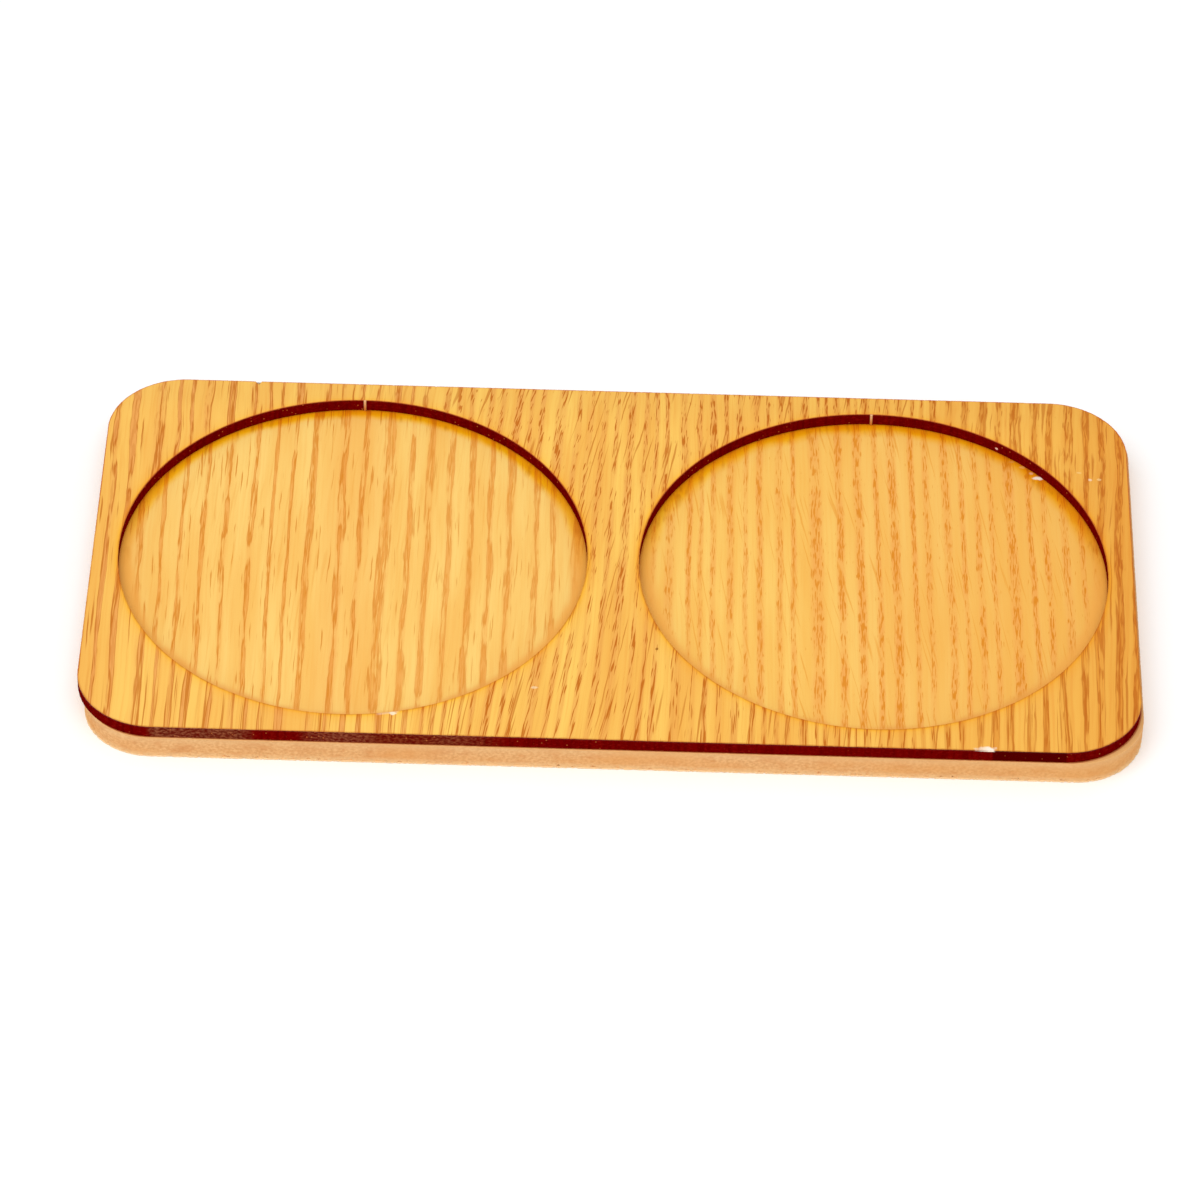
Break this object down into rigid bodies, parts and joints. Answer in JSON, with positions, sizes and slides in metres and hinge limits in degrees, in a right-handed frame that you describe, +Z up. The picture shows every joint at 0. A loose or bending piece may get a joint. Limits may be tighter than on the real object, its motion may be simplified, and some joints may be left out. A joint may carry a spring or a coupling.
{
  "type": "drink coaster",
  "caption": "Flat oblong oak-veneered drink coaster with round corners and shallow round wells that keep glasses side by side.",
  "frame": {"origin": "middle of the whole outline, at the level of the underside, which lies on the table", "axes": "+X along the long side, to the right; +Y from front to back, along the grain; +Z up, out of the wells"},
  "size_m": [0.2006, 0.1002, 0.0076],
  "materials": {
    "backing_veneer": "plain backing veneer, unfinished",
    "raw_fibreboard": "raw sawn fibreboard edge",
    "oak_floor": "open-grain oak veneer, matt",
    "dried_glue": "dried wood glue",
    "burnt_backing": "veneer with a laser-burnt edge",
    "burnt_fibreboard": "fibreboard with a laser-burnt edge",
    "oak_face": "open-grain oak veneer, matt"
  },
  "bodies": {
    "root": {"base_backing": "backing_veneer", "base_core": "raw_fibreboard", "base_veneer": "oak_floor", "glue_film": "dried_glue", "top_backing": "burnt_backing", "top_core": "burnt_fibreboard", "top_veneer": "oak_face"}
  },
  "joints": []
}
